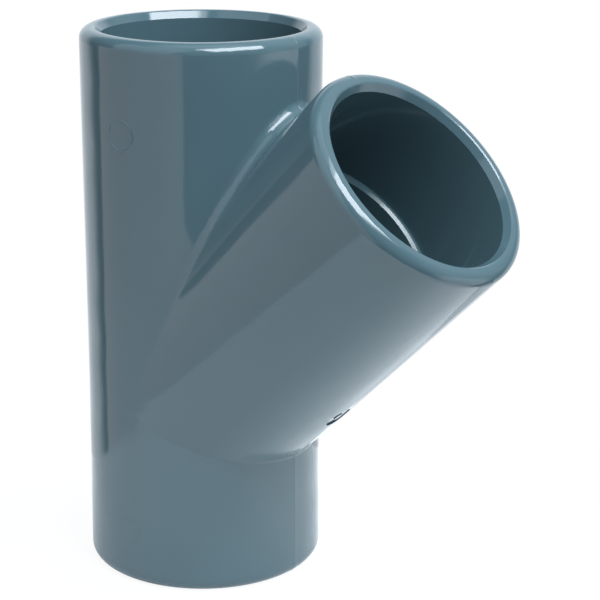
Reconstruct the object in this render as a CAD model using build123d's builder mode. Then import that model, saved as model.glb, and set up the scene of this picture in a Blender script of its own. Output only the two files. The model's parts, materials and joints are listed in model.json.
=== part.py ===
from build123d import *
from math import cos, radians, sin, sqrt, tan
import os

os.makedirs("parts", exist_ok=True)

# A 45 degree wye fitting for gluing onto pipe, moulded in one piece with three sockets.
# All sizes are in millimetres. The origin is the centre of the lower socket's stop, where
# the end of the pipe seats. +Z runs up the straight run and +X points to the side that
# the branch leaves on.

# Sockets: a plain round bore over the pipe, with a lead-in at the mouth
pipe_diameter = 63.0
socket_clearance = 0.1
socket_depth = 38.0
lead_in_width = 1.6
lead_in_depth = 2.4
lead_in_edge = 0.3

# Stops: the flat step at each socket's root, and the waterway that it narrows to. The
# step's inner edge is broken by a low slope, which catches the light in the branch's mouth.
stop_height = 2.4
stop_edge_width = 1.2
stop_edge_depth = 0.6

# Rims: a flat ring outside the lead-in, then a wide rounding to the outside
rim_land = 1.2
rim_rounding = 3.6

# Outside: tubes that narrow very little from each rim towards the middle. The branch
# starts a hair thinner than the run, so its inner end stays hidden in the run.
waist_narrowing = 0.4
branch_inset = 0.15

# Layout: the length of waterway between the crotch of the two bores and each stop
branch_angle = 45.0
lower_stop_gap = 6.4
upper_stop_gap = 10.5
branch_stop_gap = 10.5

# Roundings of the crease where the tubes meet: generous in the narrow upper crotch,
# small under the branch
upper_crotch_radius = 3.5
lower_crotch_radius = 1.5

# Gate scar under the branch: a round shallow recess with the stub of the sprue in it,
# placed outward from the lower crotch along the branch's underside
gate_spacing = 24.4
gate_diameter = 9.0
gate_depth = 0.5
stub_diameter = 3.0
stub_height = 0.35

# Radii, from the pipe outwards and inwards
socket_radius = pipe_diameter / 2 + socket_clearance
lead_in_radius = socket_radius + lead_in_width
waterway_radius = socket_radius - stop_height
stop_edge_radius = waterway_radius + stop_edge_width
land_radius = lead_in_radius + rim_land
rim_radius = land_radius + rim_rounding
waist_radius = rim_radius - waist_narrowing
branch_radius = waist_radius - branch_inset

# Two equal bores cross in a lower crotch and an upper one, whose distances from the point
# where the axes meet follow from half the angle between them
half_angle = radians(branch_angle / 2)
meeting_height = waterway_radius * tan(half_angle) + lower_stop_gap
upper_stop = meeting_height + waterway_radius / tan(half_angle) + upper_stop_gap
upper_mouth = upper_stop + socket_depth
lower_mouth = -socket_depth

# The same along the branch, from the point where the axes meet
branch_stop = waterway_radius / tan(half_angle) + branch_stop_gap
branch_mouth = branch_stop + socket_depth

meeting_point = Vector(0, 0, meeting_height)
branch_direction = Vector(sin(radians(branch_angle)), 0, cos(radians(branch_angle)))
underside_direction = Vector(cos(radians(branch_angle)), 0, -sin(radians(branch_angle)))
branch_axis = Axis(meeting_point, branch_direction)
branch_section = Plane(origin=meeting_point, x_dir=underside_direction, z_dir=(0, -1, 0))

# The crease turns from the upper crotch to the lower one on both sides of the run,
# where the thinner branch dips below the run's surface. The waist lies at that height.
turn_offset = sqrt(waist_radius**2 - branch_radius**2)
turn_height = meeting_height + turn_offset / tan(radians(branch_angle))
turn_plane = Plane(origin=(0, 0, turn_height))

# The branch widens evenly, so the radius of its surface at the gate lies between its ends'
gate_distance = waist_radius * tan(half_angle) + gate_spacing
gate_share = gate_distance / (branch_mouth - rim_rounding)
gate_surface = branch_radius + (rim_radius - branch_radius) * gate_share
gate_origin = meeting_point + branch_direction * gate_distance + underside_direction * gate_surface
gate_plane = Plane(origin=gate_origin, x_dir=branch_direction, z_dir=underside_direction)

with BuildPart() as tubes:
    # Run, outside
    with BuildSketch(Plane.XZ):
        with BuildLine():
            Line((0, lower_mouth), (land_radius, lower_mouth))
            CenterArc((land_radius, lower_mouth + rim_rounding), rim_rounding, -90, 90)
            Polyline(
                (rim_radius, lower_mouth + rim_rounding),
                (waist_radius, turn_height),
                (rim_radius, upper_mouth - rim_rounding),
            )
            CenterArc((land_radius, upper_mouth - rim_rounding), rim_rounding, 0, 90)
            Polyline((land_radius, upper_mouth), (0, upper_mouth), (0, lower_mouth))
        make_face()
    revolve(axis=Axis.Z)

    # Branch, outside, from the meeting point outwards
    with BuildSketch(branch_section):
        with BuildLine():
            Polyline((0, 0), (branch_radius, 0), (rim_radius, branch_mouth - rim_rounding))
            CenterArc((land_radius, branch_mouth - rim_rounding), rim_rounding, 0, 90)
            Polyline((land_radius, branch_mouth), (0, branch_mouth), (0, 0))
        make_face()
    revolve(axis=branch_axis)

# Upper half, with the wide rounding that fades out as the crease runs down each side
with BuildPart() as upper_half:
    add(tubes.part)
    split(bisect_by=turn_plane, keep=Keep.TOP)
    fillet(upper_half.edges().filter_by(GeomType.BSPLINE), upper_crotch_radius)

# Lower half, with the tight rounding under the branch
with BuildPart() as lower_half:
    add(tubes.part)
    split(bisect_by=turn_plane, keep=Keep.BOTTOM)
    fillet(lower_half.edges().filter_by(GeomType.BSPLINE), lower_crotch_radius)

with BuildPart() as wye_body:
    add(upper_half.part)
    add(lower_half.part)

    # Run, inside: socket, stop, waterway, stop and socket
    with BuildSketch(Plane.XZ):
        with BuildLine():
            Polyline(
                (0, lower_mouth),
                (lead_in_radius, lower_mouth),
                (socket_radius, lower_mouth + lead_in_depth),
                (socket_radius, 0),
                (stop_edge_radius, 0),
                (waterway_radius, stop_edge_depth),
                (waterway_radius, upper_stop - stop_edge_depth),
                (stop_edge_radius, upper_stop),
                (socket_radius, upper_stop),
                (socket_radius, upper_mouth - lead_in_depth),
                (lead_in_radius, upper_mouth),
                (0, upper_mouth),
                (0, lower_mouth),
            )
        make_face()
    revolve(axis=Axis.Z, mode=Mode.SUBTRACT)

    # Branch, inside
    with BuildSketch(branch_section):
        with BuildLine():
            Polyline(
                (0, 0),
                (waterway_radius, 0),
                (waterway_radius, branch_stop - stop_edge_depth),
                (stop_edge_radius, branch_stop),
                (socket_radius, branch_stop),
                (socket_radius, branch_mouth - lead_in_depth),
                (lead_in_radius, branch_mouth),
                (0, branch_mouth),
                (0, 0),
            )
        make_face()
    revolve(axis=branch_axis, mode=Mode.SUBTRACT)

    # The inner edges of the three rims are broken, so they catch the light
    rings = wye_body.edges().filter_by(GeomType.CIRCLE)
    chamfer(rings.filter_by(lambda ring: abs(ring.radius - lead_in_radius) < 0.01), lead_in_edge)

    # Gate scar: the recess, then the stub standing on its floor
    with BuildSketch(gate_plane.offset(-gate_depth)):
        Circle(gate_diameter / 2)
    extrude(amount=gate_depth * 2, mode=Mode.SUBTRACT)
    with BuildSketch(gate_plane.offset(-gate_depth * 2)):
        Circle(stub_diameter / 2)
    extrude(amount=gate_depth + stub_height)

wye_body.part.label = "wye_body"
export_step(wye_body.part, "parts/wye_body.step")
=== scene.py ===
"""A 45 degree wye fitting for gluing onto pipe, moulded in blue-grey rigid vinyl.

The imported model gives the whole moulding. This script adds what the mould leaves on its
surface, which is the line where the mould's halves met and two ring marks, and then the
vinyl's finish, the studio and the camera. Lengths are in metres, in the model's own frame:
the origin is the centre of the lower socket's stop, +Z runs up the straight run and +X
points to the side that the branch leaves on.
"""

from __future__ import annotations

import json
import logging
import math
from collections.abc import Callable
from dataclasses import dataclass, field
from enum import Enum

import bmesh
import bpy
from mathutils import Matrix, Vector

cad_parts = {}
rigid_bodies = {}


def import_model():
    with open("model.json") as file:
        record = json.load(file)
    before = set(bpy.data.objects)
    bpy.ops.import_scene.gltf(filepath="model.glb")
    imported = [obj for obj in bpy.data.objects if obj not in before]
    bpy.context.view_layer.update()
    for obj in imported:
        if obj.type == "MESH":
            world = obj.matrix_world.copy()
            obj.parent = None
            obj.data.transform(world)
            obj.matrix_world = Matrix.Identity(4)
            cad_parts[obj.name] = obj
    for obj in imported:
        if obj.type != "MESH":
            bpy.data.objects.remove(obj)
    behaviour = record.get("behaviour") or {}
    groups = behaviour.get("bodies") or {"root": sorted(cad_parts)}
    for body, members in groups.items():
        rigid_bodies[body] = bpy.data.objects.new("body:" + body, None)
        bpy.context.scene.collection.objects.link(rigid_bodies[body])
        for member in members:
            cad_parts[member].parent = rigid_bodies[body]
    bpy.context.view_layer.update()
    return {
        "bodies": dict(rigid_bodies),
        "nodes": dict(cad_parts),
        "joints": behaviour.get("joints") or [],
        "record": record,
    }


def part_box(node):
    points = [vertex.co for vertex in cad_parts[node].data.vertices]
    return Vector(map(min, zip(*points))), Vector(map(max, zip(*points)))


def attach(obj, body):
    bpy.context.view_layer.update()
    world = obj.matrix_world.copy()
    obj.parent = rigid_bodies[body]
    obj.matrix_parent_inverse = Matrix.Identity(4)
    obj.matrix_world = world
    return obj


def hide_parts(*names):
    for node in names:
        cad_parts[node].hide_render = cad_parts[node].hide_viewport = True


LOG = logging.getLogger("wye")
MM = 0.001

# The side that the photograph was taken from, in degrees from +X and anticlockwise seen from
# above, so that -90 is the side of -Y
CAMERA_AZIMUTH = -52.546

# Daylight lamps against a camera set for slightly warmer light
COOL_WHITE = "f0f8ff"


def linear(hex_colour: str) -> tuple[float, float, float, float]:
    """Turn an sRGB hex colour into the linear colour that a node takes.

    Args:
        hex_colour: six hex digits, such as "5c6e78".

    Returns:
        Red, green and blue in linear light, and an alpha of 1.
    """
    channels = (int(hex_colour[i : i + 2], 16) / 255 for i in (0, 2, 4))
    red, green, blue = (
        c / 12.92 if c <= 0.04045 else ((c + 0.055) / 1.055) ** 2.4 for c in channels
    )
    return red, green, blue, 1.0


def add_node(
    tree: bpy.types.NodeTree,
    kind: str,
    settings: dict[str, object] | None = None,
    inputs: dict[str | int, object] | None = None,
) -> bpy.types.Node:
    """Add one node to a tree.

    Args:
        tree: the node tree.
        kind: the node's type name.
        settings: properties to set on the node.
        inputs: for each input, the socket that feeds it or the value that it holds.

    Returns:
        The new node.
    """
    node = tree.nodes.new(kind)
    for name, value in (settings or {}).items():
        setattr(node, name, value)
    for name, value in (inputs or {}).items():
        if isinstance(value, bpy.types.NodeSocket):
            tree.links.new(value, node.inputs[name])
        else:
            node.inputs[name].default_value = value
    return node


@dataclass(frozen=True)
class MouldedVinyl:
    """Rigid vinyl, injection moulded in a polished steel mould.

    The pigment is even, so the colour hardly varies. The skin is glossy and slightly wavy
    where the plastic shrank as it cooled, so reflections have soft, gently uneven edges.
    The sizes of the patterns are lengths on the real part.
    """

    name: str = "moulded_rigid_vinyl"
    colour: str = "445c64"
    pale_colour: str = "486068"
    roughness: float = 0.10
    polish_spread: tuple[float, float] = (0.85, 1.2)
    ior: float = 1.54
    cloud_size: float = 25.0 * MM
    patch_size: float = 8.0 * MM
    wave_length: float = 18.0 * MM
    wave_height: float = 0.6 * MM
    wave_strength: float = 0.12
    grain_size: float = 0.4 * MM
    grain_height: float = 0.02 * MM
    grain_strength: float = 0.05

    def make(self) -> bpy.types.Material:
        """Make the material and return it."""
        material = bpy.data.materials.new(self.name)
        material.use_nodes = True
        tree = material.node_tree
        tree.nodes.clear()
        place = add_node(tree, "ShaderNodeTexCoord").outputs["Object"]

        # Pigment: flow through the gate leaves very faint clouds, so that a large face
        # isn't one flat tone
        clouds = add_node(
            tree,
            "ShaderNodeTexNoise",
            inputs={
                "Vector": place,
                "Scale": 1 / self.cloud_size,
                "Detail": 2.0,
                "Roughness": 0.5,
            },
        ).outputs["Fac"]
        colour = add_node(
            tree,
            "ShaderNodeMix",
            {"data_type": "RGBA"},
            {"Factor": clouds, "A": linear(self.colour), "B": linear(self.pale_colour)},
        ).outputs["Result"]

        # Gloss: the polish of the steel varies in patches, so a lamp's reflection is a
        # little sharper in some places than in others
        patches = add_node(
            tree,
            "ShaderNodeTexNoise",
            inputs={"Vector": place, "Scale": 1 / self.patch_size, "Detail": 3.0},
        ).outputs["Fac"]
        roughness = add_node(
            tree,
            "ShaderNodeMapRange",
            inputs={
                "Value": patches,
                "From Min": 0.3,
                "From Max": 0.7,
                "To Min": self.roughness * self.polish_spread[0],
                "To Max": self.roughness * self.polish_spread[1],
            },
        ).outputs["Result"]

        # Shrinkage: low waves that bend the edges of reflections, and a fine grain that
        # breaks up the highlights
        waves = add_node(
            tree,
            "ShaderNodeTexNoise",
            inputs={"Vector": place, "Scale": 1 / self.wave_length, "Detail": 1.0},
        ).outputs["Fac"]
        low = add_node(
            tree,
            "ShaderNodeBump",
            inputs={
                "Height": waves,
                "Strength": self.wave_strength,
                "Distance": self.wave_height,
            },
        ).outputs["Normal"]
        grain = add_node(
            tree,
            "ShaderNodeTexNoise",
            inputs={"Vector": place, "Scale": 1 / self.grain_size, "Detail": 1.0},
        ).outputs["Fac"]
        fine = add_node(
            tree,
            "ShaderNodeBump",
            inputs={
                "Height": grain,
                "Strength": self.grain_strength,
                "Distance": self.grain_height,
                "Normal": low,
            },
        ).outputs["Normal"]

        shader = add_node(
            tree,
            "ShaderNodeBsdfPrincipled",
            inputs={
                "Base Color": colour,
                "Roughness": roughness,
                "Normal": fine,
                "IOR": self.ior,
                "Metallic": 0.0,
            },
        )
        add_node(
            tree, "ShaderNodeOutputMaterial", inputs={"Surface": shader.outputs["BSDF"]}
        )
        return material


@dataclass(frozen=True)
class Socket:
    """One socket's stop and the direction of its mouth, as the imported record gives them."""

    stop: Vector
    axis: Vector

    @classmethod
    def read(cls, record: dict, name: str) -> Socket:
        """Find a socket among the record's mounts.

        Args:
            record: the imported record.
            name: the mount's name.

        Returns:
            The socket.
        """
        mount = next(m for m in record["mounts"] if m["name"] == name)
        return cls(Vector(mount["pos_m"]), Vector(mount["axis"]).normalized())

    def along(self, point: Vector) -> float:
        """Give how far a point lies beyond the stop, towards the mouth."""
        return (point - self.stop).dot(self.axis)

    def off_axis(self, point: Vector) -> float:
        """Give a point's distance from the socket's axis."""
        return (point - self.stop).cross(self.axis).length


def select_vertices(piece: bpy.types.Object, wanted: Callable[[Vector], bool]) -> int:
    """Select vertices by their place, on the piece that is in edit mode.

    Args:
        piece: the piece in edit mode.
        wanted: says of a place whether a vertex there is selected.

    Returns:
        How many vertices are selected.
    """
    shape = bmesh.from_edit_mesh(piece.data)
    for vertex in shape.verts:
        vertex.select_set(False)
    chosen = [vertex for vertex in shape.verts if wanted(vertex.co)]
    for vertex in chosen:
        vertex.select_set(True)
    shape.select_flush(True)
    bmesh.update_edit_mesh(piece.data)
    return len(chosen)


def start_editing(piece: bpy.types.Object) -> None:
    """Make a piece the only selected one and open it in edit mode, by its vertices."""
    bpy.ops.object.select_all(action="DESELECT")
    piece.select_set(True)
    bpy.context.view_layer.objects.active = piece
    bpy.ops.object.mode_set(mode="EDIT")
    bpy.ops.mesh.select_mode(type="VERT")
    bpy.ops.mesh.select_all(action="SELECT")


@dataclass
class Moulding:
    """The moulding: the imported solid's skin, with the mould's parting line raised on it.

    The mould's halves met in the plane of the two axes, where plastic crept between them
    and left a fine ridge. It runs over the rims' roundings and stops at the gate's scar,
    which lies under the branch, before its stop. The gate's reach is along the branch, its
    radius is off the branch's axis and its top is a height.
    """

    node: str = "wye_body"
    finish: MouldedVinyl = field(default_factory=MouldedVinyl)
    merge_distance: float = 0.002 * MM
    cut_tolerance: float = 0.005 * MM
    crease_angle: float = 24.0
    ridge_width: float = 0.5 * MM
    ridge_height: float = 0.08 * MM
    ridge_start_radius: float = 35.0 * MM
    gate_before_stop: float = 41.0 * MM
    gate_reach: float = 5.2 * MM
    gate_radius: float = 38.5 * MM
    gate_top: float = 50.0 * MM

    def build(self, frame: dict) -> bpy.types.Object:
        """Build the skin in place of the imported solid.


        Returns:
            The skin.
        """
        solid = frame["nodes"][self.node]
        skin = bpy.data.objects.new("wye_moulding", solid.data.copy())
        bpy.context.scene.collection.objects.link(skin)
        start_editing(skin)
        bpy.ops.mesh.customdata_custom_splitnormals_clear()
        bpy.ops.mesh.remove_doubles(threshold=self.merge_distance)
        raised = self.raise_parting_line(skin, frame["record"])
        bpy.ops.object.mode_set(mode="OBJECT")
        self.smooth(skin)
        skin.data.materials.clear()
        skin.data.materials.append(self.finish.make())
        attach(skin, "root")
        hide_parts(self.node)
        LOG.info("%s: %d faces, %d raised", skin.name, len(skin.data.polygons), raised)
        return skin

    def raise_parting_line(self, skin: bpy.types.Object, record: dict) -> int:
        """Raise the ridge where the mould's halves met.

        Args:
            skin: the moulding's skin, in edit mode.
            record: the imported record.

        Returns:
            How many vertices were raised.
        """
        half = self.ridge_width / 2
        for offset in (-half, 0.0, half):
            bpy.ops.mesh.select_all(action="SELECT")
            bpy.ops.mesh.bisect(
                plane_co=(0.0, offset, 0.0),
                plane_no=(0.0, 1.0, 0.0),
                threshold=self.cut_tolerance,
            )

        run = Socket.read(record, "lower_socket")
        branch = Socket.read(record, "branch_socket")
        low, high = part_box(self.node)

        def on_the_line(place: Vector) -> bool:
            """Say whether a vertex lies on the outside, in the plane of the two axes."""
            outside = min(run.off_axis(place), branch.off_axis(place))
            at_gate = abs(branch.along(place) + self.gate_before_stop) < self.gate_reach
            under = branch.off_axis(place) < self.gate_radius and place.z < self.gate_top
            within = all(
                low[i] + self.ridge_height < place[i] < high[i] - self.ridge_height
                for i in (0, 2)
            )
            return (
                abs(place.y) < self.cut_tolerance
                and outside > self.ridge_start_radius
                and within
                and not (at_gate and under)
            )

        raised = select_vertices(skin, on_the_line)
        bpy.ops.transform.shrink_fatten(value=self.ridge_height)
        return raised

    def smooth(self, skin: bpy.types.Object) -> None:
        """Shade the round faces smooth and keep the true edges crisp."""
        bpy.ops.object.shade_smooth_by_angle(angle=math.radians(self.crease_angle))
        weight = skin.modifiers.new("weights", "WEIGHTED_NORMAL")
        weight.keep_sharp = True
        bpy.ops.object.modifier_apply(modifier=weight.name)


@dataclass
class RingMarks:
    """The edges of two round plugs in the mould, which stand on the run as low rings.

    Both lie on the side that the camera sees. The lower mark has a second ring inside. No
    mark reaches out beyond the rims.
    """

    upper_height: float = 108.5 * MM
    lower_height: float = -20.7 * MM
    radius: float = 5.0 * MM
    inner_share: float = 0.8
    width: float = 0.6 * MM
    upper_relief: float = 0.22 * MM
    lower_relief: float = 0.1 * MM
    reach: float = 37.99 * MM
    sunk: float = 0.3 * MM
    stand_off: float = 45.0 * MM
    segments: int = 96
    crease_angle: float = 50.0

    def build(self, skin: bpy.types.Object) -> None:
        """Build the rings on the moulding's skin.

        Args:
            skin: the moulding's skin.
        """
        pattern = self.flat_ring()
        places = (
            ("ring_mark_upper", self.upper_height, 1.0, self.upper_relief),
            ("ring_mark_lower", self.lower_height, 1.0, self.lower_relief),
            ("ring_mark_lower_inner", self.lower_height, self.inner_share, self.lower_relief),
        )
        for name, height, share, relief in places:
            ring = bpy.data.objects.new(name, pattern.data.copy())
            bpy.context.scene.collection.objects.link(ring)
            ring.data.transform(Matrix.Diagonal((share, 1.0, share, 1.0)))
            ring.data.transform(Matrix.Translation((0.0, 0.0, height)))
            self.lay(ring, skin, height, share * (self.radius - self.width / 2), relief)
            ring.data.materials.append(skin.data.materials[0])
            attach(ring, "root")
            LOG.info("%s: %d faces", ring.name, len(ring.data.polygons))
        bpy.data.objects.remove(pattern)

    def flat_ring(self) -> bpy.types.Object:
        """Model one flat ring in front of the run, from a disc that is inset twice."""
        bpy.ops.object.select_all(action="DESELECT")
        bpy.ops.mesh.primitive_circle_add(
            vertices=self.segments,
            radius=self.radius,
            fill_type="NGON",
            location=(0.0, -self.stand_off, 0.0),
            rotation=(math.pi / 2, 0.0, 0.0),
        )
        ring = bpy.context.object
        bpy.ops.object.transform_apply(location=True, rotation=True, scale=True)
        start_editing(ring)
        bpy.ops.mesh.inset(thickness=self.width / 2)
        bpy.ops.mesh.inset(thickness=self.width / 2)
        bpy.ops.mesh.delete(type="FACE")
        bpy.ops.object.mode_set(mode="OBJECT")
        return ring

    def lay(
        self,
        ring: bpy.types.Object,
        skin: bpy.types.Object,
        height: float,
        crest: float,
        relief: float,
    ) -> None:
        """Wrap a flat ring on the run, raise its crest and give it a root in the wall.

        Args:
            ring: the flat ring.
            skin: the moulding's skin.
            height: the ring's height along the run.
            crest: the radius of the loop in the middle of the ring's width.
            relief: how far the crest stands out.
        """
        bpy.ops.object.select_all(action="DESELECT")
        ring.select_set(True)
        bpy.context.view_layer.objects.active = ring
        wrap = ring.modifiers.new("wrap", "SHRINKWRAP")
        wrap.target = skin
        wrap.wrap_method = "PROJECT"
        wrap.use_project_y = True
        bpy.ops.object.modifier_apply(modifier=wrap.name)
        start_editing(ring)
        near = self.width / 4
        select_vertices(
            ring, lambda place: abs(math.hypot(place.x, place.z - height) - crest) < near
        )
        bpy.ops.transform.shrink_fatten(value=relief)

        # The rims stand out furthest, so the crest is worn flat where it would pass them
        shape = bmesh.from_edit_mesh(ring.data)
        for vertex in shape.verts:
            vertex.co.y = max(vertex.co.y, -self.reach)
        bmesh.update_edit_mesh(ring.data)
        bpy.ops.object.mode_set(mode="OBJECT")
        root = ring.modifiers.new("root", "SOLIDIFY")
        root.thickness = self.sunk
        root.offset = -1.0
        bpy.ops.object.modifier_apply(modifier=root.name)
        bpy.ops.object.shade_smooth_by_angle(angle=math.radians(self.crease_angle))


class Lamp(Enum):
    """The lamps, each a soft box that is named for where it stands."""

    KEY = "key_box"
    TUBE = "key_box_tube"
    FILL = "fill_box"
    PANEL = "left_panel"


@dataclass(frozen=True)
class SoftBox:
    """A flat soft lamp that faces the fitting.

    Its bearing and height are angles seen from the fitting, the bearing from the side that
    the camera stands on and growing to the camera's right. Its brightness is that of the
    lamp's face, where 1 is as bright as white paper in full light.
    """

    bearing: float
    height: float
    distance: float
    width: float
    length: float
    brightness: float
    colour: str = COOL_WHITE


def towards(bearing: float, height: float) -> Vector:
    """Give the direction of a bearing and a height, both in degrees.

    Args:
        bearing: degrees to the right of the camera's side.
        height: degrees above the horizon.

    Returns:
        A unit vector in the model's frame.
    """
    turn = math.radians(CAMERA_AZIMUTH + bearing)
    rise = math.radians(height)
    return Vector(
        (math.cos(turn) * math.cos(rise), math.sin(turn) * math.cos(rise), math.sin(rise))
    )


@dataclass(frozen=True)
class Glow:
    """A pale part of the room, round as the fitting sees it, with a soft edge.

    Its place, its reach and the width of its edge are angles in degrees.
    """

    bearing: float
    height: float
    reach: float
    fade: float
    brightness: float


@dataclass
class Studio:
    """A white board on a stand, soft lamps, and a white backdrop in a dim room.

    The light is slightly cool and the panel on the left slightly warm, as the reflections
    in the photograph show. The board glows, and more so towards its back.
    """

    light: str = COOL_WHITE
    board: str = "d8d8d8"
    board_height: float = -0.038
    board_radius: float = 0.165
    board_centre: tuple[float, float] = (0.05, -0.05)
    board_glow: float = 0.2
    board_glow_behind: float = 0.65
    board_fade: tuple[float, float] = (-0.06, 0.03)
    board_whiteness: float = 0.9
    board_segments: int = 128
    aim: tuple[float, float, float] = (0.02, 0.0, 0.05)
    room: float = 0.1
    glows: tuple[Glow, ...] = (
        Glow(181.5, -15.0, 53.7, 8.0, 1.0),
        Glow(94.0, 12.0, 22.0, 10.0, 0.55),
        Glow(64.0, 2.0, 16.0, 8.0, 0.35),
        Glow(80.0, -28.0, 24.0, 8.0, 1.4),
        Glow(0.0, 90.0, 20.0, 8.0, 1.1),
        Glow(130.0, 52.0, 26.0, 10.0, 0.6),
    )
    lamps: dict[Lamp, SoftBox] = field(
        default_factory=lambda: {
            Lamp.KEY: SoftBox(44.0, 56.0, 1.2, 1.0, 0.8, 4.0),
            Lamp.TUBE: SoftBox(44.0, 56.0, 1.15, 0.95, 0.5, 10.0),
            Lamp.FILL: SoftBox(-57.0, 40.0, 1.0, 1.15, 0.93, 1.0),
            Lamp.PANEL: SoftBox(-61.3, -8.0, 0.6, 1.23, 0.55, 0.87, "fcf2f7"),
        }
    )

    def floor(self) -> None:
        """Add the white board that the fitting stands on."""
        bpy.ops.object.select_all(action="DESELECT")
        bpy.ops.mesh.primitive_circle_add(
            vertices=self.board_segments,
            radius=self.board_radius,
            fill_type="NGON",
            location=(*self.board_centre, self.board_height),
        )
        floor = bpy.context.object
        floor.name = "studio_floor"
        bpy.ops.object.transform_apply(location=True, rotation=True, scale=True)

        # Painted board: matt, so it mirrors nothing and shows only a trace of shadow. Its own
        # light stands for the lamps behind the fitting, and the camera sees it as white.
        material = bpy.data.materials.new("matt_white_board")
        material.use_nodes = True
        tree = material.node_tree
        tree.nodes.clear()
        matt = add_node(
            tree,
            "ShaderNodeBsdfDiffuse",
            inputs={"Color": linear(self.board), "Roughness": 0.0},
        ).outputs["BSDF"]
        place = add_node(tree, "ShaderNodeTexCoord").outputs["Object"]
        depth = add_node(tree, "ShaderNodeSeparateXYZ", inputs={0: place}).outputs["Y"]
        strength = add_node(
            tree,
            "ShaderNodeMapRange",
            {"interpolation_type": "SMOOTHSTEP"},
            {
                "Value": depth,
                "From Min": self.board_fade[0],
                "From Max": self.board_fade[1],
                "To Min": self.board_glow,
                "To Max": self.board_glow_behind,
            },
        ).outputs["Result"]
        glow = add_node(
            tree,
            "ShaderNodeEmission",
            inputs={"Color": linear(self.light), "Strength": strength},
        ).outputs["Emission"]
        board = add_node(tree, "ShaderNodeAddShader", inputs={0: matt, 1: glow}).outputs[0]
        white = add_node(
            tree, "ShaderNodeEmission", inputs={"Color": linear("ffffff"), "Strength": 1.0}
        ).outputs["Emission"]
        ray = add_node(tree, "ShaderNodeLightPath")
        seen = add_node(
            tree,
            "ShaderNodeMath",
            {"operation": "MULTIPLY"},
            {0: ray.outputs["Is Camera Ray"], 1: self.board_whiteness},
        ).outputs[0]
        surface = add_node(
            tree, "ShaderNodeMixShader", inputs={0: seen, 1: board, 2: white}
        ).outputs[0]
        add_node(tree, "ShaderNodeOutputMaterial", inputs={"Surface": surface})
        floor.data.materials.append(material)
        LOG.info("floor at %.1f mm", self.board_height / MM)

    def hang(self, lamp: Lamp) -> None:
        """Add one soft lamp that faces the fitting."""
        box = self.lamps[lamp]
        data = bpy.data.lights.new(lamp.value, "AREA")
        data.shape = "RECTANGLE"
        data.size, data.size_y = box.width, box.length
        data.energy = math.pi * box.brightness * box.width * box.length
        data.color = linear(box.colour)[:3]
        direction = towards(box.bearing, box.height)
        piece = bpy.data.objects.new(data.name, data)
        piece.location = Vector(self.aim) + direction * box.distance
        piece.rotation_euler = (-direction).to_track_quat("-Z", "Y").to_euler()
        piece.visible_camera = False
        bpy.context.scene.collection.objects.link(piece)
        LOG.info("%s: %.1f W", data.name, data.energy)

    def surround(self) -> None:
        """Make a world that is white to the eye, and a dim room with pale parts."""
        world = bpy.data.worlds.new("studio_room")
        bpy.context.scene.world = world
        world.use_nodes = True
        tree = world.node_tree
        tree.nodes.clear()
        direction = add_node(tree, "ShaderNodeTexCoord").outputs["Generated"]
        strength: bpy.types.NodeSocket | float = self.room
        for glow in self.glows:
            across = add_node(
                tree,
                "ShaderNodeVectorMath",
                {"operation": "DOT_PRODUCT"},
                {0: direction, 1: towards(glow.bearing, glow.height)},
            ).outputs["Value"]
            share = add_node(
                tree,
                "ShaderNodeMapRange",
                {"interpolation_type": "SMOOTHSTEP"},
                {
                    "Value": across,
                    "From Min": math.cos(math.radians(glow.reach + glow.fade)),
                    "From Max": math.cos(math.radians(glow.reach - glow.fade)),
                    "To Max": glow.brightness,
                },
            ).outputs["Result"]
            strength = add_node(
                tree, "ShaderNodeMath", {"operation": "ADD"}, {0: strength, 1: share}
            ).outputs[0]
        room = add_node(
            tree,
            "ShaderNodeBackground",
            inputs={"Color": linear(self.light), "Strength": strength},
        ).outputs[0]
        white = add_node(
            tree, "ShaderNodeBackground", inputs={"Color": linear("ffffff"), "Strength": 1.0}
        ).outputs[0]
        ray = add_node(tree, "ShaderNodeLightPath").outputs["Is Camera Ray"]
        surface = add_node(
            tree, "ShaderNodeMixShader", inputs={0: ray, 1: room, 2: white}
        ).outputs[0]
        add_node(tree, "ShaderNodeOutputWorld", inputs={"Surface": surface})

    def build(self) -> None:
        """Build the board, the surround and the lamps."""
        self.floor()
        self.surround()
        for lamp in Lamp:
            self.hang(lamp)


@dataclass
class Viewpoint:
    """The photograph's camera, fitted to the measured outline of the fitting."""

    elevation: float = 16.955
    roll: float = 0.35
    place: tuple[float, float, float] = (0.378776, -0.443035, 0.225697)
    lens: float = 112.29
    sensor: float = 36.0

    def build(self) -> None:
        """Make the camera and hand it to the scene."""
        roll = math.radians(self.roll)
        back = towards(0.0, self.elevation)
        level = (-back).cross(Vector((0, 0, 1))).normalized()
        upright = level.cross(-back)
        right = level * math.cos(roll) + upright * math.sin(roll)
        up = upright * math.cos(roll) - level * math.sin(roll)
        data = bpy.data.cameras.new("photo_camera")
        data.lens = self.lens
        data.sensor_width = self.sensor
        camera = bpy.data.objects.new("photo_camera", data)
        turn = Matrix((right, up, back)).transposed()
        camera.matrix_world = Matrix.Translation(self.place) @ turn.to_4x4()
        bpy.context.scene.collection.objects.link(camera)
        bpy.context.scene.camera = camera
        bpy.context.scene.view_settings.view_transform = "Standard"
        LOG.info("camera: %.2f mm lens", self.lens)


def main() -> None:
    """Build the fitting's marks and finish, then the studio and the camera."""
    logging.basicConfig(level=logging.INFO, format="%(name)s %(message)s")
    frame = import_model()
    skin = Moulding().build(frame)
    RingMarks().build(skin)
    Studio().build()
    Viewpoint().build()


if __name__ == "__main__":
    main()
